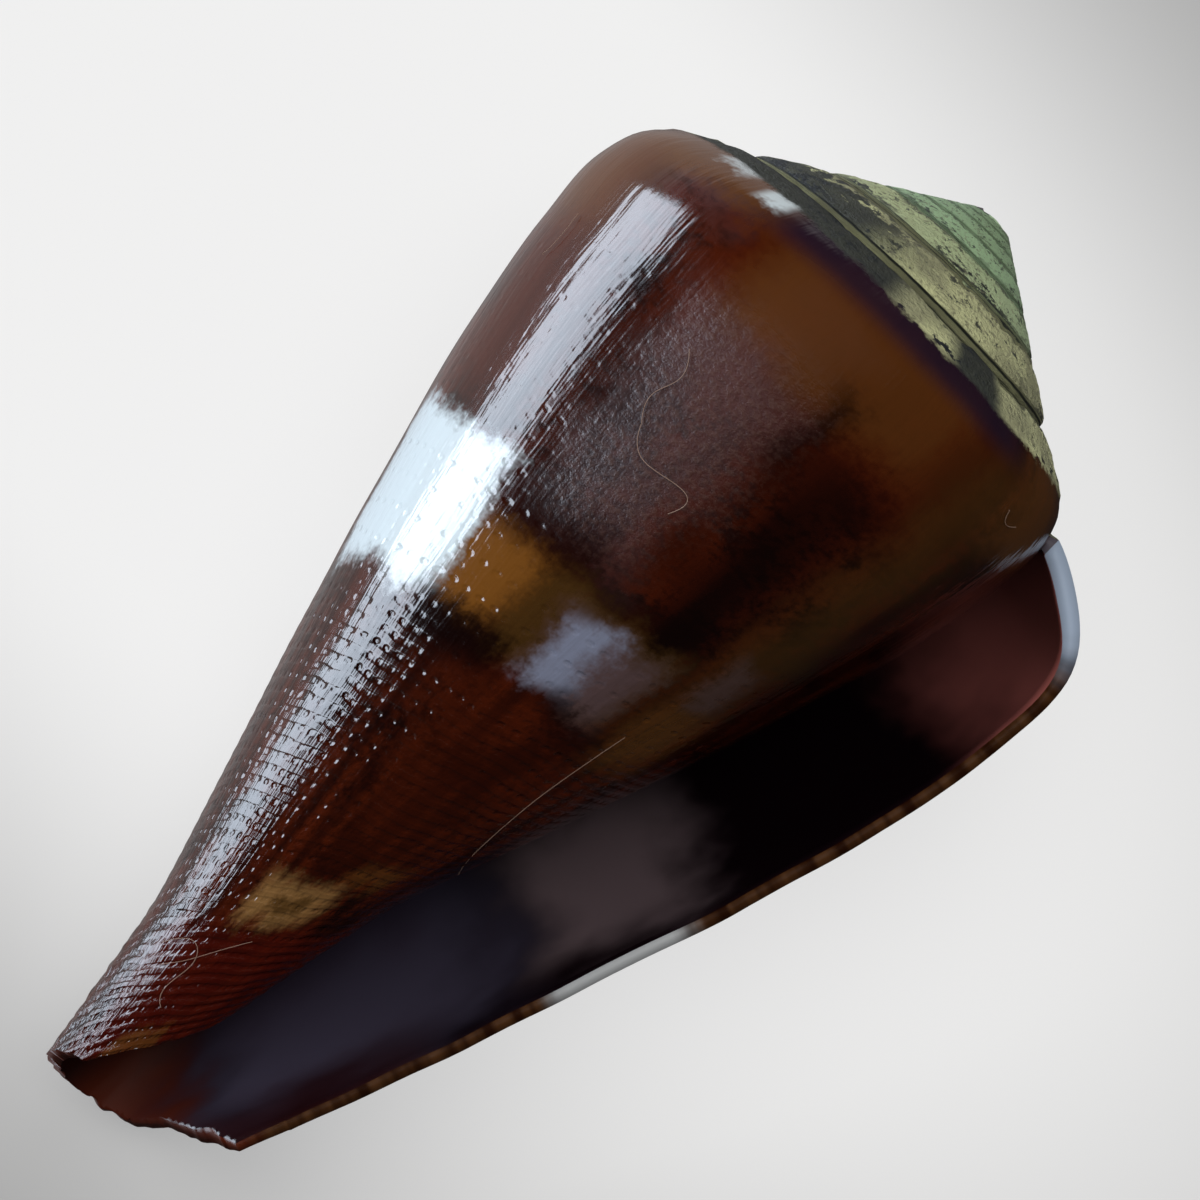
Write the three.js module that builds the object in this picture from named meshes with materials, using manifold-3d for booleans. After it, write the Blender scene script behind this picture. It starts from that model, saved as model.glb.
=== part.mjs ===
// A cone shell, in millimetres, lying on its back with its aperture up.
//
// The shell is one solid. It is worked out first in its own growth frame: the coiling axis is Z, the
// apex is the origin and the body hangs below it. Every section through the axis is the section at the
// lip, scaled about the apex by the growth of the turns between them, so a "turn" t of 0 is the lip
// and a turn of -1 is one whorl younger. The coil is right handed: seen from the apex it grows clockwise.
//
// At the end the solid is laid down as it rests: the apex points along +X and a little up, the outer
// lip is on the -Y side, and the origin is on the ground under the middle of the bounding box.

import * as THREE from 'three';
import { mergeVertices } from 'three/addons/utils/BufferGeometryUtils.js';
import Module from 'manifold-3d';

// Growth of the coil.
const WHORL_GROWTH = 1.44; // size of a whorl over the size of the whorl before it
const SPIRE_WHORLS = 6; // whorls that stand above the body whorl
const LUMEN_WHORLS = 1.5; // how far the hollow runs in from the lip
const STEPS_PER_HALF_TURN = 18;
const MERGE_DISTANCE = 1e-5;
const POINT_GRID = 1e-5; // points are rounded to this, so that cut faces that meet are exactly flat

// Outline of the section at the lip: distance from the axis, height from the apex.
const OUTLINE = [
  [6.6, -4.65], // suture, on the shoulder of the whorl before
  [8.15, -5.4], // sloping ramp of the spire
  [9.2, -6.3],
  [9.6, -7.7], // rounded shoulder, the widest place
  [9.5, -10.2],
  [8.75, -14.0], // slightly swollen flank
  [7.25, -19.3],
  [4.75, -27.0], // straight flank
  [2.9, -32.4],
  [2.25, -35.4], // drawn in at the front end
  [1.5, -39.5],
];
const POINTS_PER_SPAN = 2;
const FIRST_FLANK_POINT = 3; // the outline point from which a whorl is covered by the next one

// Wall and columella.
const WALL = 0.55; // at the lip; it scales with the whorl
const GLAZE = 0.12; // thin layer that the last whorl leaves on the one before
const RAMP_GAP = 0.75; // height of the wall over the hollow's upper corner
const COLUMELLA = [
  [0.0, -8.0],
  [1.1, -12.0],
  [1.0, -25.5],
  [0.7, -27.5],
  [0.0, -28.8],
];
const COLUMELLA_SIDES = 16;

// The front end is cut off by a slightly slanted plane.
const FRONT_CUT_HEIGHT = -31.3; // on the axis
const FRONT_CUT_RISE_TO_LIP = 0.28; // rise per millimetre towards the lip, along +X
const FRONT_CUT_FALL_TO_BACK = 0.4; // fall per millimetre towards the back, along +Y
const CUTTER_SIZE = 60; // larger than the shell

// How the shell lies: on its back, on a small flat cut there because a round back would roll.
const REST_PITCH = THREE.MathUtils.degToRad(12.7); // apex up from the level
const REST_FLAT_DEPTH = 0.3;

const wasm = await Module();
wasm.setup();

function outlineAtLip() {
  const points = OUTLINE.map(([radius, height]) => new THREE.Vector3(radius, height, 0));
  const curve = new THREE.CatmullRomCurve3(points, false, 'centripetal');
  return curve.getPoints((OUTLINE.length - 1) * POINTS_PER_SPAN).map((p) => new THREE.Vector2(p.x, p.y));
}

// The outline moved sideways: a positive distance moves it in towards the hollow.
function offsetOutline(points, distance) {
  return points.map((point, i) => {
    const before = points[Math.max(i - 1, 0)];
    const after = points[Math.min(i + 1, points.length - 1)];
    const along = after.clone().sub(before).normalize();
    return new THREE.Vector2(point.x + along.y * distance, point.y - along.x * distance);
  });
}

function scaled(points, factor) {
  return points.map((point) => point.clone().multiplyScalar(factor));
}

// Places a section point (distance from the axis, height) at a turn of the coil.
function atTurn(point, turn) {
  const angle = -2 * Math.PI * turn;
  const place = [point.x * Math.cos(angle), point.x * Math.sin(angle), point.y];
  return place.map((value) => Math.round(value / POINT_GRID) * POINT_GRID);
}

// A closed solid between the axis and a section that grows from one turn to another, at most half a
// turn later. The section starts and ends at two fixed points on the axis.
function wedge(section, axisStart, axisEnd, fromTurn, toTurn) {
  const steps = Math.max(1, Math.round(Math.abs(toTurn - fromTurn) * 2 * STEPS_PER_HALF_TURN));
  const ends = [new THREE.Vector2(0, axisStart), new THREE.Vector2(0, axisEnd)];
  const count = section.length;
  const positions = [ends[0].x, 0, ends[0].y, ends[1].x, 0, ends[1].y];
  for (let step = 0; step <= steps; step++) {
    const turn = THREE.MathUtils.lerp(fromTurn, toTurn, step / steps);
    for (const point of scaled(section, WHORL_GROWTH ** turn)) positions.push(...atTurn(point, turn));
  }
  const vertex = (step, i) => 2 + step * count + i;
  const triangles = [];
  for (let step = 0; step < steps; step++) {
    triangles.push(0, vertex(step, 0), vertex(step + 1, 0));
    triangles.push(1, vertex(step + 1, count - 1), vertex(step, count - 1));
    for (let i = 0; i < count - 1; i++) {
      triangles.push(vertex(step, i), vertex(step, i + 1), vertex(step + 1, i + 1));
      triangles.push(vertex(step, i), vertex(step + 1, i + 1), vertex(step + 1, i));
    }
  }
  for (const [step, flip] of [[0, false], [steps, true]]) {
    const grown = WHORL_GROWTH ** (step ? toTurn : fromTurn);
    const contour = [ends[0], ...scaled(section, grown), ends[1]];
    const index = [0, ...section.map((_, i) => vertex(step, i)), 1];
    for (const face of THREE.ShapeUtils.triangulateShape(contour, [])) {
      const corners = face.map((i) => index[i]);
      triangles.push(...(flip ? corners.reverse() : corners));
    }
  }
  return solid(positions, triangles);
}

// A manifold solid from a triangle list; it is turned inside out if its volume comes out negative.
function solid(positions, triangles) {
  const faces = signedVolume(positions, triangles) < 0 ? triangles.slice().reverse() : triangles;
  return new wasm.Manifold(
    new wasm.Mesh({
      numProp: 3,
      vertProperties: new Float32Array(positions),
      triVerts: new Uint32Array(faces),
    })
  );
}

function signedVolume(positions, triangles) {
  const corner = (i) => new THREE.Vector3().fromArray(positions, triangles[i] * 3);
  let volume = 0;
  for (let i = 0; i < triangles.length; i += 3) {
    volume += corner(i).dot(corner(i + 1).cross(corner(i + 2))) / 6;
  }
  return volume;
}

function solidFromGeometry(geometry) {
  const bare = geometry.toNonIndexed();
  bare.deleteAttribute('normal');
  bare.deleteAttribute('uv');
  const merged = mergeVertices(bare, MERGE_DISTANCE);
  return solid(Array.from(merged.attributes.position.array), Array.from(merged.index.array));
}

function union(solids) {
  return solids.reduce((sum, next) => sum.add(next));
}

// The shell as if it were solid: half a turn at a time, from the apex to the lip.
function filledCoil(outline) {
  const wedges = [];
  for (let turn = -SPIRE_WHORLS - 1; turn < -0.25; turn += 0.5) {
    const grown = WHORL_GROWTH ** turn;
    const top = turn < -SPIRE_WHORLS ? 0 : outline[0].y * grown * 0.3;
    const bottom = outline.at(-1).y * grown;
    wedges.push(wedge(outline, top, bottom, turn, turn + 0.5));
  }
  return union(wedges);
}

// The hollow: its outer side is the outline less the wall, and its inner side is the whorl before.
function lumen(outline) {
  const outer = offsetOutline(outline, WALL).slice(POINTS_PER_SPAN);
  const covered = scaled(outline, 1 / WHORL_GROWTH).slice(FIRST_FLANK_POINT * POINTS_PER_SPAN);
  const inner = offsetOutline(covered, -GLAZE);
  const corner = new THREE.Vector2(inner[0].x, outline[0].y - RAMP_GAP);
  const section = [...inner.slice(1).reverse(), corner, ...outer];
  const wedges = [];
  for (let turn = -LUMEN_WHORLS; turn < -0.25; turn += 0.5) {
    const end = WHORL_GROWTH ** (turn + 0.5);
    wedges.push(wedge(section, section[0].y * end, section.at(-1).y * end * 1.05, turn, turn + 0.5));
  }
  return union(wedges);
}

function columella() {
  const profile = COLUMELLA.map(([radius, height]) => new THREE.Vector2(radius, height));
  return solidFromGeometry(new THREE.LatheGeometry(profile.reverse(), COLUMELLA_SIDES).rotateX(Math.PI / 2));
}

function frontCutter() {
  const block = new THREE.BoxGeometry(CUTTER_SIZE, CUTTER_SIZE, CUTTER_SIZE);
  block.translate(0, 0, FRONT_CUT_HEIGHT - CUTTER_SIZE / 2);
  const corners = block.attributes.position;
  for (let i = 0; i < corners.count; i++) {
    const slant = FRONT_CUT_RISE_TO_LIP * corners.getX(i) - FRONT_CUT_FALL_TO_BACK * corners.getY(i);
    corners.setZ(i, corners.getZ(i) + slant);
  }
  return solidFromGeometry(block);
}

function geometryOf(manifold) {
  const mesh = manifold.getMesh();
  const geometry = new THREE.BufferGeometry();
  geometry.setAttribute('position', new THREE.BufferAttribute(mesh.vertProperties, mesh.numProp));
  geometry.setIndex(new THREE.BufferAttribute(mesh.triVerts, 1));
  geometry.computeVertexNormals();
  return geometry;
}

// The turn from the growth frame to the way the shell lies: laid on its back, then pitched.
function restingTurn() {
  const laidDown = new THREE.Matrix4().makeBasis(
    new THREE.Vector3(0, -1, 0),
    new THREE.Vector3(0, 0, -1),
    new THREE.Vector3(1, 0, 0)
  );
  return new THREE.Matrix4().makeRotationY(-REST_PITCH).multiply(laidDown);
}

// Cuts the resting flat: everything below a level a little above the geometry's lowest point.
function restFlatCutter(geometry) {
  geometry.computeBoundingBox();
  const block = new THREE.BoxGeometry(CUTTER_SIZE, CUTTER_SIZE, CUTTER_SIZE);
  block.translate(0, 0, geometry.boundingBox.min.z + REST_FLAT_DEPTH - CUTTER_SIZE / 2);
  return solidFromGeometry(block);
}

function shellGeometry() {
  const outline = outlineAtLip();
  const grown = filledCoil(outline).subtract(lumen(outline)).add(columella()).subtract(frontCutter());
  const lying = geometryOf(grown).applyMatrix4(restingTurn());
  const flattened = geometryOf(solidFromGeometry(lying).subtract(restFlatCutter(lying)));
  flattened.computeBoundingBox();
  const middle = flattened.boundingBox.getCenter(new THREE.Vector3());
  return flattened.translate(-middle.x, -middle.y, -flattened.boundingBox.min.z);
}

const shell = new THREE.Mesh(
  shellGeometry(),
  new THREE.MeshStandardMaterial({ color: 0x4a2415, roughness: 0.28, metalness: 0 })
);
shell.name = 'cone_shell';

const part = new THREE.Group();
part.add(shell);

export default part;
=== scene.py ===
import math

import bpy
import numpy as np
from mathutils import Matrix, Vector, noise


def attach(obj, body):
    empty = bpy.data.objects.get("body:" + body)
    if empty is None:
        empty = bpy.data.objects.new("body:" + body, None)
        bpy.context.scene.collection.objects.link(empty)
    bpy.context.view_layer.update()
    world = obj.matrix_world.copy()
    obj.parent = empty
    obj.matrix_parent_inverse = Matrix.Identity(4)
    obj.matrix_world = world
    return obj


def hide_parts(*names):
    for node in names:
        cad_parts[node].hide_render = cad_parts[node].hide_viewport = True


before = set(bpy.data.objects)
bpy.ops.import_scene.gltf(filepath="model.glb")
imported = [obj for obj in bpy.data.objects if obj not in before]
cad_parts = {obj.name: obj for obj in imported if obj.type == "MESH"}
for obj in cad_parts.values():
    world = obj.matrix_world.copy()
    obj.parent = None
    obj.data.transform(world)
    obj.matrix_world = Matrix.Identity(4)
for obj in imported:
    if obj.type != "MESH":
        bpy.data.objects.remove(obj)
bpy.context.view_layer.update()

# The shell's wall. The animal laid it down at the lip as one thin sheet of lime, coiled to the right,
# and every part is the part before it turned about the axis and grown about the apex.
# The sheet is worked in millimetres in that growth frame: apex at the origin, coiling axis along Z.

MM = 0.001
WHORL_GROWTH = 1.44
OUTLINE = [  # the section at the lip: distance from the axis, height from the apex
    (6.0, -5.1),  # tucked under the whorl before
    (6.6, -4.65),  # suture
    (8.15, -5.4),
    (9.2, -6.3),
    (9.6, -7.7),  # shoulder
    (9.5, -10.2),
    (8.75, -14.0),
    (7.25, -19.3),
    (4.75, -27.0),
    (2.9, -32.4),
    (2.25, -35.4),
    (1.5, -39.5),  # front end
]
RAMP_END = 6.0  # the outline past here is hidden under the next whorl
FINE_FROM = 22.0  # closer rows from here to the front end, where the cords are
COARSE_ROW, FINE_ROW = 1.25, 0.46
STEPS_PER_TURN = 24
OLDEST_TURN = -7.5
COVERED_TURN = -1.375  # older whorls keep only their ramp
SMOOTHING = 2


def along_outline(count_per_span=40):
    """The outline as a fine smooth line, with the distance along it at each point."""
    knots = np.array([OUTLINE[0], *OUTLINE, OUTLINE[-1]], float)
    knots[0] = 2 * knots[1] - knots[2]
    knots[-1] = 2 * knots[-2] - knots[-3]
    line = []
    for a, b, c, d in zip(knots, knots[1:], knots[2:], knots[3:]):
        at = np.cumsum([0, *(np.linalg.norm(q - p) ** 0.5 for p, q in ((a, b), (b, c), (c, d)))])
        for t in np.linspace(at[1], at[2], count_per_span, endpoint=False):
            ab = a + (b - a) * (t - at[0]) / (at[1] - at[0])
            bc = b + (c - b) * (t - at[1]) / (at[2] - at[1])
            cd = c + (d - c) * (t - at[2]) / (at[3] - at[2])
            abc = ab + (bc - ab) * (t - at[0]) / (at[2] - at[0])
            bcd = bc + (cd - bc) * (t - at[1]) / (at[3] - at[1])
            line.append(abc + (bcd - abc) * (t - at[1]) / (at[2] - at[1]))
    line.append(np.array(OUTLINE[-1], float))
    line = np.array(line)
    steps = np.linalg.norm(np.diff(line, axis=0), axis=1)
    return line, np.concatenate([[0], np.cumsum(steps)])


outline, outline_length = along_outline()
full_length = outline_length[-1]
ramp_rows = np.linspace(0, RAMP_END, 7)
flank_rows = np.arange(RAMP_END + COARSE_ROW, FINE_FROM, COARSE_ROW)
front_rows = np.arange(FINE_FROM, full_length, FINE_ROW)
rows = np.concatenate([ramp_rows, flank_rows, front_rows, [full_length]])

bpy.ops.object.select_all(action="DESELECT")
bpy.ops.mesh.primitive_grid_add(x_subdivisions=len(rows) - 1, y_subdivisions=1, size=2)
shell = bpy.context.object
shell.name = shell.data.name = "coiled_shell"
step_angle = 2 * math.pi / STEPS_PER_TURN
step_growth = WHORL_GROWTH ** (1 / STEPS_PER_TURN)
for vertex in shell.data.vertices:
    row = round((vertex.co.x + 1) / 2 * (len(rows) - 1))
    turn = OLDEST_TURN + (vertex.co.y > 0) / STEPS_PER_TURN
    grown = WHORL_GROWTH**turn
    radius = np.interp(rows[row], outline_length, outline[:, 0]) * grown
    height = np.interp(rows[row], outline_length, outline[:, 1]) * grown
    angle = -2 * math.pi * turn
    vertex.co = (radius * math.cos(angle), radius * math.sin(angle), height)
    vertex.select = turn > OLDEST_TURN
for edge in shell.data.edges:
    edge.select = all(shell.data.vertices[i].select for i in edge.vertices)
for face in shell.data.polygons:
    face.select = False

# Growth, one step at a time: the newest edge is extruded, turned and grown about the apex.
bpy.ops.object.mode_set(mode="EDIT")
bpy.ops.mesh.select_mode(type="EDGE")
for _ in range(round(-OLDEST_TURN * STEPS_PER_TURN) - 1):
    bpy.ops.mesh.extrude_region_move()
    bpy.ops.transform.rotate(value=step_angle, orient_axis="Z", center_override=(0, 0, 0))
    bpy.ops.transform.resize(value=(step_growth,) * 3, center_override=(0, 0, 0))
bpy.ops.object.mode_set(mode="OBJECT")


def vertex_places(mesh):
    places = np.empty(len(mesh.vertices) * 3)
    mesh.vertices.foreach_get("co", places)
    return places.reshape(-1, 3)


def growth_places(points):
    """The turn and the distance along the outline, at lip size, of points on the coiled sheet."""
    radius = np.hypot(points[:, 0], points[:, 1])
    angle = np.arctan2(points[:, 1], points[:, 0]) % (2 * math.pi)
    best = np.full(len(points), 1e9)
    turns, across = np.zeros(len(points)), np.zeros(len(points))
    line, length = outline[::4], outline_length[::4]
    for whorl in range(-1, math.ceil(-OLDEST_TURN) + 1):
        turn = -angle / (2 * math.pi) - whorl
        size = WHORL_GROWTH**turn
        section = np.stack([radius, points[:, 2]], 1) / size[:, None]
        gap = np.full(len(points), 1e9)
        place = np.zeros(len(points))
        for start, end, low, high in zip(line, line[1:], length, length[1:]):
            run = end - start
            share = np.clip(((section - start) @ run) / (run @ run), 0, 1)
            miss = np.linalg.norm(section - start - share[:, None] * run, axis=1)
            closer = miss < gap
            gap = np.where(closer, miss, gap)
            place = np.where(closer, low + share * (high - low), place)
        miss = np.where((turn < 0.02) & (turn > OLDEST_TURN - 0.02), gap * size, 1e9)
        closer = miss < best
        best = np.where(closer, miss, best)
        turns, across = np.where(closer, turn, turns), np.where(closer, place, across)
    return turns, across


# The covered flanks of the older whorls are taken away, and the sheet is smoothed.
turns, across = growth_places(vertex_places(shell.data))
covered = (turns < COVERED_TURN) & (across > RAMP_END + 0.01)
for face in shell.data.polygons:
    face.select = any(covered[i] for i in face.vertices)
bpy.ops.object.mode_set(mode="EDIT")
bpy.ops.mesh.select_mode(type="FACE")
bpy.ops.mesh.delete(type="FACE")
bpy.ops.mesh.select_all(action="SELECT")
bpy.ops.mesh.normals_make_consistent(inside=False)
bpy.ops.object.mode_set(mode="OBJECT")
smooth = shell.modifiers.new("smooth", "SUBSURF")
smooth.levels = smooth.render_levels = SMOOTHING
smooth.boundary_smooth = "PRESERVE_CORNERS"
bpy.ops.object.modifier_apply(modifier="smooth")

# The front end is broken and worn to a wavy rim.
FRONT_HEIGHT, RISE_TO_LIP, FALL_TO_BACK = -31.3, 0.28, 0.4
bpy.ops.object.mode_set(mode="EDIT")
bpy.ops.mesh.select_all(action="SELECT")
bpy.ops.mesh.bisect(
    plane_co=(0, 0, FRONT_HEIGHT), plane_no=(-RISE_TO_LIP, FALL_TO_BACK, 1), clear_inner=True
)
bpy.ops.object.mode_set(mode="OBJECT")
turns, across = growth_places(vertex_places(shell.data))
size = WHORL_GROWTH**turns


def on_sheet(turn, place, lift=0.0):
    """The outside's points at turns and distances along the outline."""
    radius = np.interp(place, outline_length, outline[:, 0]) * WHORL_GROWTH**turn + lift
    height = np.interp(place, outline_length, outline[:, 1]) * WHORL_GROWTH**turn
    angle = -2 * math.pi * turn
    return np.stack([radius * np.cos(angle), radius * np.sin(angle), height], -1)


points = on_sheet(turns, across)


def roughly(at, seed):
    """Smooth noise from -1 to 1 at each row of at."""
    return np.array([noise.noise(Vector(place) + Vector((seed, seed, seed))) for place in at])


def hump(value, low, high, soft):
    """1 between low and high, 0 outside them, with soft edges."""
    ends = np.clip((value - low) / soft + 0.5, 0, 1), np.clip((high - value) / soft + 0.5, 0, 1)
    return ends[0] ** 2 * (3 - 2 * ends[0]) * ends[1] ** 2 * (3 - 2 * ends[1])


above_rim = points[:, 2] - FRONT_HEIGHT - RISE_TO_LIP * points[:, 0] + FALL_TO_BACK * points[:, 1]
near_rim = np.exp(-((above_rim / 1.1) ** 2)) * size**2
wave = 0.30 * hump(turns, -0.13, -0.02, 0.04) - 0.06 * hump(turns, -0.24, -0.15, 0.02)
wave += 0.10 * roughly(np.stack([turns * 38, turns * 0, turns * 0]).T, 3.0)
wave += 0.22 * hump(turns, -0.022, 0.1, 0.03) * (above_rim < 1.4)
points[:, 2] += wave * near_rim
near_lip = np.exp(turns * 90)
points += near_lip[:, None] * 0.10 * roughly(points * (0.35, 0.35, 0.55), 9.0)[:, None]
shell.data.vertices.foreach_set("co", points.ravel())

# The wall is thickest at the shoulder end and thins to the lip's edge.
WALL, LIP_WALL = 0.5, 0.62
wall = shell.vertex_groups.new(name="wall")
edge_wall = LIP_WALL + 0.4 * (1 - hump(across, 4, 60, 4)) - 0.16 * hump(across, 27, 60, 6)
share = np.clip(-turns / 0.035, 0, 1)
thick = size * (edge_wall + (1 - edge_wall) * share)
for index, value in enumerate(thick):
    wall.add([index], min(float(value), 1.0), "REPLACE")
sheet_count = len(points)
layer = shell.modifiers.new("wall", "SOLIDIFY")
layer.thickness, layer.offset = WALL, -1
layer.vertex_group = "wall"
layer.material_offset, layer.material_offset_rim = 1, 2
for name in ("shell_outside", "shell_inside", "shell_lip_edge"):
    shell.data.materials.append(bpy.data.materials.new(name))
bpy.ops.object.modifier_apply(modifier="wall")

# The outside is uneven: growth folds, spiral cords towards the front end, wrinkled beads at its tip,
# and a spire worn down in steps.
mesh = shell.data
points = vertex_places(mesh)
normals = np.empty(len(points) * 3)
mesh.vertex_normals.foreach_get("vector", normals)
normals = normals.reshape(-1, 3)
outer = points[:sheet_count].copy()
along = turns * 45


def grown_noise(around_scale, outline_scale, seed):
    """Smooth noise on the sheet, finer around or along the outline as the scales grow."""
    return roughly(np.stack([along * around_scale, across * outline_scale, along * 0]).T, seed)


CORD_SPACING = 0.52
cords = np.sin(2 * np.pi * across / CORD_SPACING) * hump(across, 21, 60, 10)
cords *= 0.006 + 0.012 * hump(across, 31, 60, 5)
folds = 0.020 * grown_noise(1.3, 0.07, 1.0) + 0.012 * grown_noise(3.1, 0.12, 2.0)
beads = 0.055 * grown_noise(1.1, 2.0, 4.0) * hump(across, 31.5, 60, 4)
swell = 0.07 * roughly(outer * 0.35, 6.0)
full = 0.14 * hump(across, 2.0, 6.5, 2.5) * hump(turns, -0.8, -0.1, 0.3)
spire = hump(turns, -9, -0.98, 0.05) + hump(turns, -1.2, -0.3, 0.1) * (across < 3.2)
worn = roughly(np.stack([along * 0.55, across * 0.9, turns]).T, 5.0)
worn += 0.6 * roughly(np.stack([along * 1.6, across * 2.6, turns]).T, 7.0)
chipped = 0.14 * hump(across, -5, 1.5, 1.2) * (worn > 0.15)
spire_relief = spire * hump(across, -9, 5.6, 1.5) * (0.10 * np.abs(worn) - chipped)
wear = np.clip((-1.3 - turns) / 1.5, 0, 1) * hump(across, 0.7, 5.6, 0.7) * 0.9
outer[:, 2] += wear * (-0.665 * np.hypot(outer[:, 0], outer[:, 1]) - outer[:, 2])
lift = (cords + folds + beads + swell + full + spire_relief) * size
lift *= np.clip(-turns / 0.02, 0.15, 1)
points[:sheet_count] = outer + normals[:sheet_count] * lift[:, None]
mesh.vertices.foreach_set("co", points.ravel())

# Each point keeps its turn and its distance along the outline, and slow noise for the colours.
cloudy = grown_noise(0.40, 0.40, 11.0) + 0.5 * grown_noise(0.95, 0.95, 12.0)
streaky = grown_noise(1.5, 0.10, 13.0) + 0.6 * grown_noise(3.2, 0.16, 14.0)
ripple = grown_noise(1.2, 1.2, 15.0)
for name, columns in (("growth", (turns, across, size)), ("clouds", (cloudy, streaky, ripple))):
    field = mesh.attributes.new(name, "FLOAT_VECTOR", "POINT")
    field.data.foreach_set("vector", np.tile(np.stack(columns, 1), (2, 1)).ravel())

# The nucleus, a small worn bulb that closes the coil at the apex.
bpy.ops.object.select_all(action="DESELECT")
bpy.ops.mesh.primitive_uv_sphere_add(segments=32, ring_count=16, radius=1, location=(0, 0, -0.64))
nucleus = bpy.context.object
bpy.ops.transform.resize(value=(0.62, 0.62, 0.36))
bpy.ops.object.transform_apply(location=True, scale=True)
nucleus.data.materials.append(mesh.materials[0])
young = nucleus.data.attributes.new("growth", "FLOAT_VECTOR", "POINT")
for index, vertex in enumerate(nucleus.data.vertices):
    young.data[index].vector = (-6.8, 2.5 + vertex.co.x, 0.1)

# Lint that has caught on the shell, and the pale growth scratch below the shoulder.
LINT = [  # thickness, height, then places as turn and distance along the outline
    (0.011, 0.08, (-0.745, 12.9), (-0.752, 12.2), (-0.742, 11.9),
     (-0.722, 12.2), (-0.705, 12.1), (-0.7, 11.3)),
    (0.011, 0.08, (-0.700, 11.3), (-0.690, 10.6), (-0.697, 9.9), (-0.702, 9.2), (-0.692, 8.6)),
    (0.009, 0.08, (-0.905, 5.5), (-0.893, 5.9), (-0.888, 5.3)),
    (0.009, 0.08, (-0.62, 33.4), (-0.66, 33.0), (-0.70, 33.6), (-0.71, 34.6), (-0.68, 35.4), (-0.72, 36.2)),
    (0.008, 0.08, (-0.76, 33.0), (-0.72, 33.6), (-0.69, 34.2), (-0.65, 34.3)),
    (0.008, 0.08, (-0.57, 7.4), (-0.574, 8.3), (-0.568, 9.0)),
    (0.009, 0.0, (-0.853, 19.8), (-0.855, 22.7), (-0.862, 24.3),
     (-0.876, 26.0), (-0.9, 27.6), (-0.94, 28.5)),
]
threads = []
for radius, height, *stops in LINT:
    bpy.ops.object.select_all(action="DESELECT")
    bpy.ops.curve.primitive_nurbs_path_add()
    thread = bpy.context.object
    path = thread.data.splines[0].points
    path.add(max(len(stops) - len(path), 0))
    for index, point in enumerate(path):
        stop = stops[min(index, len(stops) - 1)]
        point.co = (*on_sheet(*stop, lift=height * (0.7 + 0.6 * (index % 2))), 1)
    thread.data.splines[0].use_endpoint_u = True
    thread.data.splines[0].order_u = 4
    thread.data.bevel_depth = radius
    thread.data.bevel_resolution = 1
    thread.data.resolution_u = 6
    thread.data.use_fill_caps = True
    bpy.ops.object.convert(target="MESH")
    threads.append(bpy.context.object)
lint_material = bpy.data.materials.new("shell_lint")
for thread in threads:
    thread.data.materials.clear()
    thread.data.materials.append(lint_material)
mesh.materials.append(lint_material)

bpy.ops.object.select_all(action="DESELECT")
for item in (nucleus, *threads, shell):
    item.select_set(True)
bpy.context.view_layer.objects.active = shell
bpy.ops.object.join()

# The shell is turned to lie as it rests, apex up along +X, and set on the solid's apex, in metres.
REST_PITCH = math.radians(12.7)
solid = vertex_places(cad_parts["cone_shell"].data)
apex = Vector(solid[np.argmax(solid[:, 0])])
laid_down = Matrix(((0, 0, 1), (-1, 0, 0), (0, -1, 0)))
lying = Matrix.Rotation(-REST_PITCH, 3, "Y") @ laid_down
shell.data.transform(Matrix.Translation(apex) @ lying.to_4x4() @ Matrix.Scale(MM, 4))
for vertex in shell.data.vertices:
    vertex.co.z = max(vertex.co.z, 0.0)  # the solid's resting flat
bpy.ops.object.shade_smooth()


class Wire:
    """One output socket of a node tree, with arithmetic that adds math nodes."""

    def __init__(self, tree, socket):
        self.tree, self.socket = tree, socket

    def make(self, kind, settings=None, inputs=None, output=0):
        node = self.tree.nodes.new(kind)
        for name, value in (settings or {}).items():
            setattr(node, name, value)
        for key, value in (inputs or {}).items():
            if isinstance(value, Wire):
                self.tree.links.new(value.socket, node.inputs[key])
            else:
                node.inputs[key].default_value = value
        return Wire(self.tree, node.outputs[output])

    def math(self, operation, *values):
        inputs = {index: value for index, value in enumerate((self, *values))}
        return self.make("ShaderNodeMath", {"operation": operation}, inputs)

    def __add__(self, other):
        return self.math("ADD", other)

    def __mul__(self, other):
        return self.math("MULTIPLY", other)

    def __sub__(self, other):
        return self.math("SUBTRACT", other)

    def __rsub__(self, other):
        return self * -1.0 + other

    __radd__, __rmul__ = __add__, __mul__

    def step(self, low, high):
        """0 below low and 1 above high, with a smooth rise between them."""
        inputs = {"Value": self, "From Min": low, "From Max": high}
        return self.make("ShaderNodeMapRange", {"interpolation_type": "SMOOTHSTEP"}, inputs)

    def between(self, low, high, soft):
        rise = self.step(low - soft, low + soft)
        return rise * (1.0 - self.step(high - soft, high + soft))

    def vector(self, second, third=0.0):
        return self.make("ShaderNodeCombineXYZ", None, {0: self, 1: second, 2: third})

    def noise(self, scale, detail=2.0, roughness=0.5):
        inputs = {"Vector": self, "Scale": scale, "Detail": detail, "Roughness": roughness}
        return self.make("ShaderNodeTexNoise", None, inputs)

    def fade(self, start, end):
        """A colour that goes from start to end as this goes from 0 to 1."""
        return self.make("ShaderNodeMix", {"data_type": "RGBA"}, {0: self, 6: start, 7: end}, 2)

    def tint(self, colour, share):
        """This colour with another laid over it."""
        settings = {"data_type": "RGBA", "clamp_factor": True}
        return self.make("ShaderNodeMix", settings, {0: share, 6: self, 7: colour}, 2)


def tone(red, green, blue):
    """A linear colour from 8-bit display values."""
    return (*((value / 255) ** 2.2 for value in (red, green, blue)), 1.0)


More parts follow.
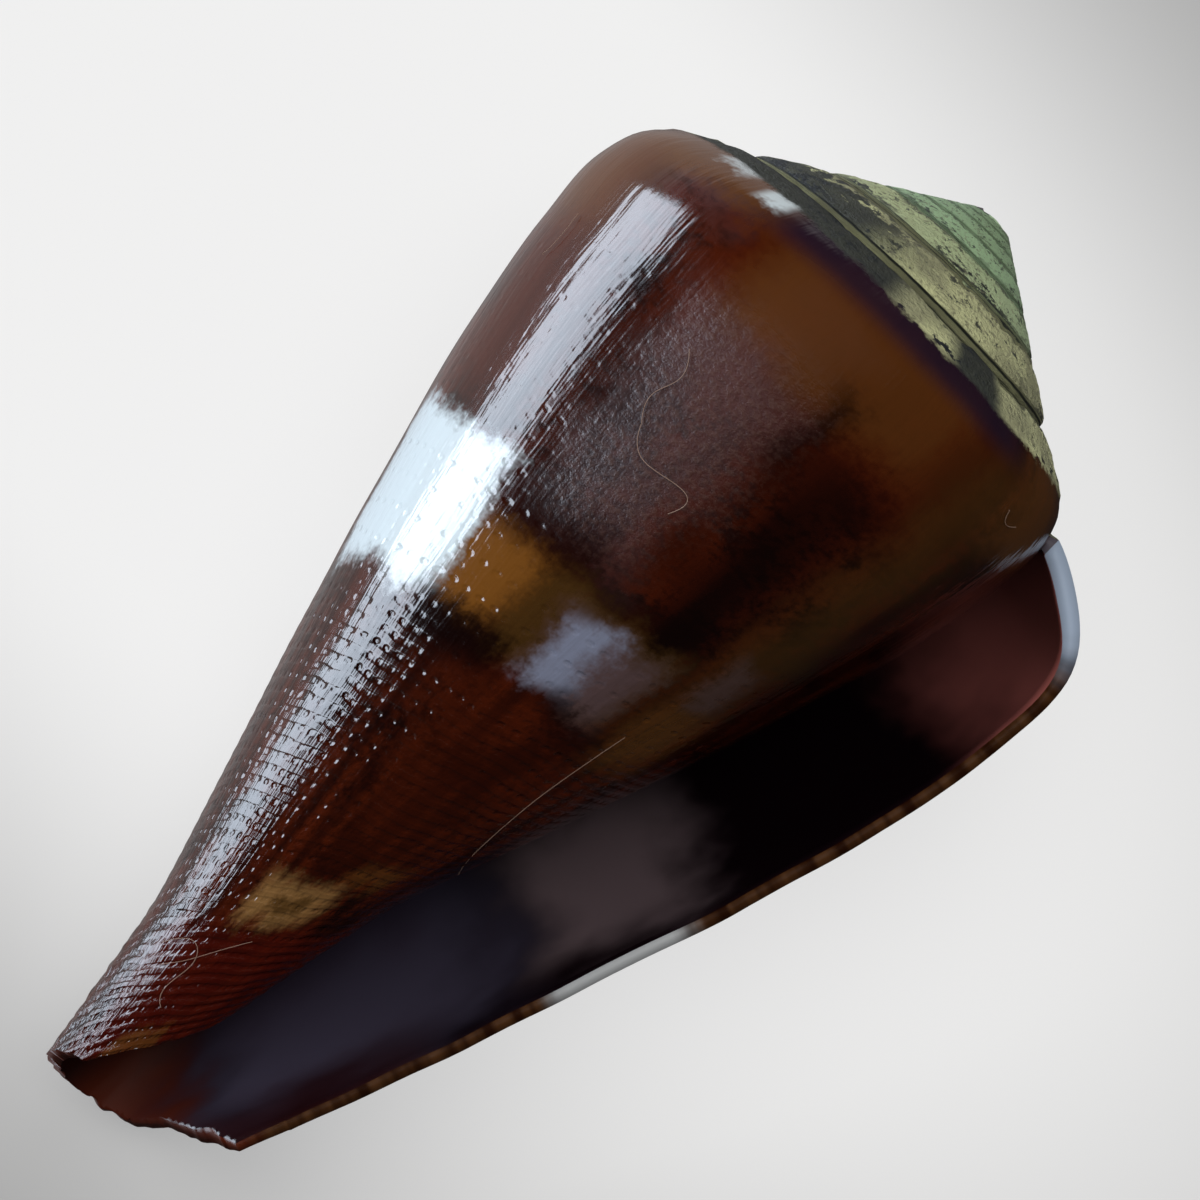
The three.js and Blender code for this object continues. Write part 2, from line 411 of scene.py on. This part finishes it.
def growth_wires(material):
    """The wires for the turn and the distance along the outline, with the material's shader."""
    material.use_nodes = True
    tree = material.node_tree
    shader = tree.nodes["Principled BSDF"]
    start = Wire(tree, None)
    place = start.make("ShaderNodeAttribute", {"attribute_name": "growth"}, None, 1)
    turn = start.make("ShaderNodeSeparateXYZ", None, {0: place}, 0)
    row = start.make("ShaderNodeSeparateXYZ", None, {0: place}, 1)
    return turn, row, shader


def with_blotches_and_sheen(colour, blotches, turn, row):
    for low, high, top, bottom, soft, shade, share in blotches:
        where = turn.between(low, high, soft * 0.022) * row.between(top, bottom, soft)
        colour = colour.tint(shade, where * share)
    return colour


# Outside: dark brown lime under a glossy skin, with paler blotches, pitted rows and a chalky spire, and
# painted sheen and highlights on the shoulder and upper flank.
turn, row, shader = growth_wires(shell.data.materials[0])
around = turn * 45.0
spot = around.vector(row)
clouds = turn.make("ShaderNodeAttribute", {"attribute_name": "clouds"}, None, 1)
coarse = turn.make("ShaderNodeSeparateXYZ", None, {0: clouds}, 0) * 0.28
streaks = turn.make("ShaderNodeSeparateXYZ", None, {0: clouds}, 1) * 0.28 + 0.5
ripple = turn.make("ShaderNodeSeparateXYZ", None, {0: clouds}, 2)
fine = spot.noise(2.6, 2.0, 0.65) - 0.5
soft_turn = turn + coarse * 0.055 + fine * 0.022
soft_row = row + coarse * -1.7 + fine * 1.1 + (streaks - 0.5) * 1.0

NIGHT, CHOCOLATE, MAHOGANY = tone(18, 6, 4), tone(38, 15, 8), tone(66, 26, 11)
OLIVE, TAN, AMBER, UMBER = tone(66, 46, 22), tone(92, 58, 28), tone(128, 82, 34), tone(30, 11, 7)
MAUVE, BLUISH, PEARL = tone(84, 68, 70), tone(118, 124, 144), tone(196, 208, 212)
blend = streaks.step(0.36, 0.62).fade(CHOCOLATE, MAHOGANY)
blend = blend.tint(NIGHT, (coarse + fine * 0.3).step(-0.03, 0.14) * 0.8)
blend = blend.tint(NIGHT, fine.step(-0.05, 0.16) * 0.4)
BLOTCHES_AND_SHEEN = [  # turns from and to, distances from and to, softness, colour, share
    (-0.87, -0.66, 3.3, 9.5, 1.2, MAHOGANY, 0.75),
    (-0.83, -0.69, 3.4, 7.2, 0.9, TAN, 0.5),
    (-0.89, -0.845, 4.0, 21.5, 1.1, OLIVE, 0.62),
    (-0.96, -0.885, 1.5, 6.5, 1.0, TAN, 0.75),
    (-0.776, -0.757, 6.2, 9.8, 0.6, NIGHT, 0.85),
    (-0.83, -0.782, 8.0, 16.4, 0.9, NIGHT, 0.8),
    (-0.69, -0.655, 8.5, 15.5, 0.8, CHOCOLATE, 0.6),
    # Painted sheen: a faint grey-mauve patch on the upper flank.
    (-0.755, -0.685, 7.6, 15.6, 1.0, MAUVE, 0.30),
    # Painted sheen: a grey-mauve patch on the shoulder.
    (-0.66, -0.60, 2.0, 5.0, 0.8, MAUVE, 0.55),
    (-0.60, -0.53, 3.5, 13.5, 1.0, MAHOGANY, 0.7),
    # Painted highlight: a lighter tan patch on top of the shoulder.
    (-0.595, -0.50, 2.5, 7.5, 1.4, TAN, 0.6),
    (-0.88, -0.86, 15.3, 17.6, 0.6, MAUVE, 0.5),
    (-0.90, -0.855, 17.8, 21.0, 0.9, TAN, 0.55),
    (-0.74, -0.655, 14.3, 20.6, 0.9, UMBER, 0.9),
    (-0.715, -0.65, 16.5, 19.3, 0.8, AMBER, 0.6),
    (-0.83, -0.715, 16.2, 19.9, 0.6, OLIVE, 0.8),
    (-0.822, -0.748, 16.9, 19.9, 0.8, MAUVE, 0.85),
    (-0.785, -0.752, 17.0, 20.0, 0.55, BLUISH, 0.9),
    (-0.650, -0.520, 14.4, 19.7, 0.45, PEARL, 0.96),
    (-0.73, -0.645, 19.2, 20.8, 0.5, NIGHT, 0.9),
    (-0.80, -0.775, 19.6, 20.8, 0.4, NIGHT, 0.7),
    (-0.86, -0.72, 20.8, 29.5, 1.6, MAHOGANY, 0.35),
    (-0.81, -0.70, 30.2, 32.2, 0.6, tone(124, 92, 56), 0.85),
    (-0.79, -0.73, 30.9, 31.7, 0.3, OLIVE, 0.8),
    (-0.855, -0.785, 28.7, 29.8, 0.5, TAN, 0.55),
    (-0.95, -0.60, 32.6, 40.0, 0.8, tone(66, 18, 10), 0.7),
    (-0.78, -0.68, 37.2, 38.4, 0.4, TAN, 0.6),
    (-0.38, -0.32, 14.5, 19.4, 0.5, PEARL, 0.9),
    (-0.22, -0.17, 15.2, 19.8, 0.5, PEARL, 0.9),
    (-0.12, -0.09, 16.5, 19.5, 0.5, BLUISH, 0.7),
    (-0.045, 0.05, 15.8, 19.7, 0.4, PEARL, 0.95),
    (-0.47, -0.40, 29.5, 32.0, 0.8, TAN, 0.8),
    (-0.30, -0.22, 4.0, 9.0, 1.2, TAN, 0.7),
    (-0.10, -0.03, 4.0, 12.0, 1.5, OLIVE, 0.7),
]
blend = with_blotches_and_sheen(blend, BLOTCHES_AND_SHEEN, soft_turn, soft_row)

# The ramp of the last whorl and the older whorls: chalky green lime under flaking dark skin, with a painted
# shade line along the sutures.
PALE_LIME, GREEN_LIME = tone(190, 192, 146), tone(172, 204, 160)
SLATE, NAVY, GREY = tone(42, 46, 50), tone(34, 26, 42), tone(118, 116, 96)
chips = spot.noise(1.2, 4.0, 0.75) - 0.5
jag = chips * 8.0 + fine * 1.5
lime = turn.step(-3.4, -2.2).fade(GREEN_LIME, PALE_LIME)
lime = lime.tint(GREY, (1.0 - coarse.step(-0.12, 0.05)) * 0.6 * turn.step(-3.2, -1.6))
flaked = (row + jag).step(3.2, 3.7) * turn.step(-4.6, -2.6)
patchy = (turn * 3.1).vector(0.0).noise(1.0, 1.0) + coarse * 0.3
lime = lime.tint(SLATE, flaked * patchy.step(0.40, 0.52))
lime = lime.tint(GREY, (fine + coarse * 0.4).step(0.02, 0.16) * 0.6)
lime = lime.tint(SLATE, (chips + coarse * 0.3).step(0.07, 0.12) * 0.85)
lime = lime.tint(SLATE, turn.between(-1.72, -1.48, 0.05) * (row + jag).step(1.2, 1.8) * 0.92)
lime = lime.tint(SLATE, turn.between(-0.845, -0.795, 0.01) * (row + jag).step(-0.2, 0.5) * 0.95)
lime = lime.tint(SLATE, turn.between(-0.745, -0.54, 0.012) * (row + jag * 0.6).step(-0.6, 0.1) * 0.95)
# Painted shade: a dark line along each suture, where the whorl above overhangs.
lime = lime.tint(SLATE, (1.0 - (row + jag * 0.25).step(0.95, 1.2)) * 0.75)
skin_edge = (row + jag * 0.12 - (turn + 0.62).math("ABSOLUTE") * 1.2).step(2.55, 2.95)
skin_edge = skin_edge * turn.step(-1.01, -0.99)
blend = blend.tint(NAVY, row.between(2.4, 4.1, 0.5) * turn.between(-0.87, -0.655, 0.02) * 0.8)
# Painted sheen and highlights on the shoulder: a lighter tan band, then two small pale blue-white spots.
blend = blend.tint(TAN, soft_row.between(1.8, 4.4, 0.6) * turn.between(-0.668, -0.55, 0.02) * 0.8)
blend = blend.tint(PEARL, soft_row.between(2.4, 3.7, 0.3) * turn.between(-0.669, -0.650, 0.004) * 0.9)
blend = blend.tint(PEARL, soft_row.between(2.0, 3.3, 0.3) * turn.between(-0.632, -0.606, 0.006) * 0.7)
colour = lime.tint(blend, skin_edge)

# Rows of pits, with the growth lines between them.
ROW_SPACING, PIT_SPACING = 0.5, 0.0135
rowed = (row + coarse * 0.6 + ripple * 0.07) * (1 / ROW_SPACING)
row_number = rowed.math("FLOOR")
shift = turn.make("ShaderNodeTexWhiteNoise", {"noise_dimensions": "1D"}, {"W": row_number}, 0)
pit_line = (turn + coarse * 0.02 + ripple * 0.002) * (1 / PIT_SPACING) + shift * 3.0
from_row = (rowed.math("FRACT") - 0.5) * 2.0
from_pit = (pit_line.math("FRACT") - 0.5) * 2.0
distance = (from_row * from_row * 1.6 + from_pit * from_pit).math("SQRT")
pit = 1.0 - distance.step(0.18, 0.72)
strong = row_number.math("PINGPONG", 1.0) * row.step(14.0, 16.0) * (1.0 - row.step(24.0, 26.0))
pits = pit * (0.30 + strong * 0.6 + row.step(18.0, 22.0) * 0.6) * row.step(5.5, 9.0)
pits = pits * ((streaks + ripple * 0.15).step(0.30, 0.60) * 0.8 + 0.2) * (0.6 + shift * 0.8)
groove = (1.0 - (from_row * from_row).step(0.02, 0.45)) * row.step(19.0, 23.0) * 0.85
lines = (around * 3.2).vector(row * 0.3).noise(1.0, 2.0, 0.7)
grain = spot.noise(4.5, 2.0, 0.75)
dust = (turn + coarse * 0.055).between(-0.765, -0.675, 0.02)
dust = dust * (row - coarse * 1.7).between(6.8, 15.0, 1.2)
chalk = 1.0 - row.step(2.4, 3.2) * turn.step(-1.01, -0.99)
height = lines * (1.1 - chalk) - (pits + groove) * (1.0 - chalk) + grain * (chalk * 6.5 + dust * 2.2 + 0.12)
bump = turn.make("ShaderNodeBump", None, {"Height": height, "Distance": 0.00002, "Strength": 1.0})

colour = colour.tint(tone(84, 62, 55), dust * grain.step(0.45, 0.62) * 0.34)
roughness = 0.15 + (1.0 - skin_edge) * 0.54 + dust * 0.38 + (streaks - 0.5) * 0.12
roughness = roughness + row.step(31.0, 36.0) * 0.06
turn.tree.links.new(colour.socket, shader.inputs["Base Color"])
turn.tree.links.new(roughness.socket, shader.inputs["Roughness"])
turn.tree.links.new(bump.socket, shader.inputs["Normal"])
shader.inputs["IOR"].default_value = 1.68

# Inside: a thin violet brown glaze, smooth and glossy, with a painted sheen low on the inner wall and
# painted shade deeper in the coil.
turn, row, shader = growth_wires(shell.data.materials[1])
spot = (turn * 45.0).vector(row)
cloud = spot.noise(0.35, 3.0) - 0.5
turn_in, row_in = turn + cloud * 0.08, row + cloud * -4.0
inside = row_in.step(5.0, 9.0).fade(tone(128, 74, 70), tone(20, 12, 16))
GLAZE_BLOTCHES_AND_SHEEN = [
    (-0.16, -0.035, 15.5, 20.0, 1.4, tone(98, 84, 88), 0.85),
    # Painted sheen: this patch and the next, pale blue-grey and grey-violet, low on the inner wall.
    (-0.20, -0.03, 21.0, 30.0, 2.2, tone(60, 56, 70), 0.8),
    (-0.24, -0.16, 23.0, 30.0, 2.0, tone(50, 42, 54), 0.6),
    (-0.5, 0.1, 31.0, 50.0, 1.6, tone(74, 32, 20), 0.8),
    (-0.06, 0.1, 24.0, 31.0, 1.5, tone(38, 16, 16), 0.7),
]
inside = with_blotches_and_sheen(inside, GLAZE_BLOTCHES_AND_SHEEN, turn_in, row_in)
# Painted shade: the glaze turns near-black deeper into the coil, past about a third of a turn from the lip.
inside = inside.tint(tone(8, 4, 8), 1.0 - turn.step(-0.42, -0.22))
turn.tree.links.new(inside.socket, shader.inputs["Base Color"])
shader.inputs["Roughness"].default_value = 0.32
shader.inputs["Coat Weight"].default_value = 0.4
shader.inputs["Coat Roughness"].default_value = 0.2

# Lip edge: the broken sheet in section, the colours of the outside showing through.
turn, row, shader = growth_wires(shell.data.materials[2])
spot = (turn * 45.0).vector(row)
fleck = spot.noise(1.1, 3.0) - 0.5
row_at = row + fleck * 1.2
edge = spot.noise(2.0).step(0.35, 0.65).fade(tone(38, 20, 10), tone(70, 46, 28))
edge = edge.tint(tone(150, 164, 184), 1.0 - row_at.step(3.4, 5.0))
edge = edge.tint(tone(152, 154, 156), row_at.between(16.2, 19.9, 0.4))
edge = edge.tint(tone(78, 34, 22), row_at.step(27.5, 29.5))
edge = edge.tint(tone(60, 30, 24), (1.0 - turn.step(-0.06, -0.03)) * 0.8)
turn.tree.links.new(edge.socket, shader.inputs["Base Color"])
shader.inputs["Roughness"].default_value = 0.35

lint_material.use_nodes = True
lint_shader = lint_material.node_tree.nodes["Principled BSDF"]
lint_shader.inputs["Base Color"].default_value = tone(128, 106, 94)
lint_shader.inputs["Roughness"].default_value = 0.8

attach(shell, "root")
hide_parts("cone_shell")

# Studio: a pale floor that glows with a painted pool of light, under soft light, with a long window low on
# the far side. About half of the window is below the floor's level, so the floor is left out of shadows and
# of gloss.
bpy.ops.mesh.primitive_plane_add(size=3)
floor = bpy.context.object
floor.name = "floor"
glowing_paper = bpy.data.materials.new("glowing_paper")
glowing_paper.use_nodes = True
glowing_paper_shader = glowing_paper.node_tree.nodes["Principled BSDF"]
glowing_paper_shader.inputs["Base Color"].default_value = (0.2, 0.2, 0.2, 1)
glowing_paper_shader.inputs["Roughness"].default_value = 1.0
glowing_paper_shader.inputs["Specular IOR Level"].default_value = 0.0
start = Wire(glowing_paper.node_tree, None)
here = start.make("ShaderNodeTexCoord", None, None, 3)
# Painted pool of light: the floor's glow is brightest just beside the shell and dims further out.
GLOW_REACH = (0.020, 0.040)
away_x = start.make("ShaderNodeSeparateXYZ", None, {0: here}, 0) * (1 / GLOW_REACH[0]) - 0.25
away_y = start.make("ShaderNodeSeparateXYZ", None, {0: here}, 1) * (1 / GLOW_REACH[1]) - 0.30
away = (away_x * away_x + away_y * away_y).math("SQRT")
glow = 0.68 - away.step(0.5, 1.4) * 0.50
glowing_paper.node_tree.links.new(glow.vector(glow, glow).socket, glowing_paper_shader.inputs["Emission Color"])
glowing_paper_shader.inputs["Emission Strength"].default_value = 1.0
floor.data.materials.append(glowing_paper)
floor.visible_shadow = floor.visible_glossy = False

world = bpy.data.worlds.new("studio")
bpy.context.scene.world = world
world.use_nodes = True
sky = world.node_tree.nodes["Background"]
start = Wire(world.node_tree, None)
up = start.make("ShaderNodeSeparateXYZ", None, {0: start.make("ShaderNodeTexCoord", None, None, 0)}, 2)
far = start.make("ShaderNodeSeparateXYZ", None, {0: start.make("ShaderNodeTexCoord", None, None, 0)}, 1)
light = 0.015 + (1.0 - up.step(-0.25, 0.05)) * far.step(-0.1, 0.4) * 0.38
world.node_tree.links.new(light.vector(light * 0.93, light * 0.93).socket, sky.inputs["Color"])


def soft_light(name, place, aim, width, length, power, colour):
    bpy.ops.object.light_add(type="AREA", location=place)
    light = bpy.context.object
    light.name = name
    light.data.shape = "RECTANGLE"
    light.data.size, light.data.size_y = width, length
    light.data.energy, light.data.color = power, colour
    light.rotation_euler = (Vector(aim) - Vector(place)).to_track_quat("-Z", "Y").to_euler()
    return light


middle = Vector((0.0, 0.0, 0.009))
to_window = Vector((-0.41, 0.90, -0.04))
soft_light("window", middle + to_window * 0.4, middle, 0.50, 0.20, 2.3, (0.76, 0.86, 1))
key = soft_light("key", (0.05, 0.1, 0.6), middle, 0.6, 0.6, 4.3, (1, 0.99, 0.97))
key.visible_glossy = False

# Camera: above the shell, with the spire at the upper right.
bpy.ops.object.camera_add(
    location=(-0.02222290, -0.00217110, 0.11036672),
    rotation=tuple(math.radians(angle) for angle in (10.3598, -8.2976, -44.5746)),
)
camera = bpy.context.object
camera.data.sensor_width, camera.data.lens = 36, 127.09
camera.data.clip_start = 0.01
bpy.context.scene.camera = camera
bpy.context.scene.view_settings.view_transform = "Standard"
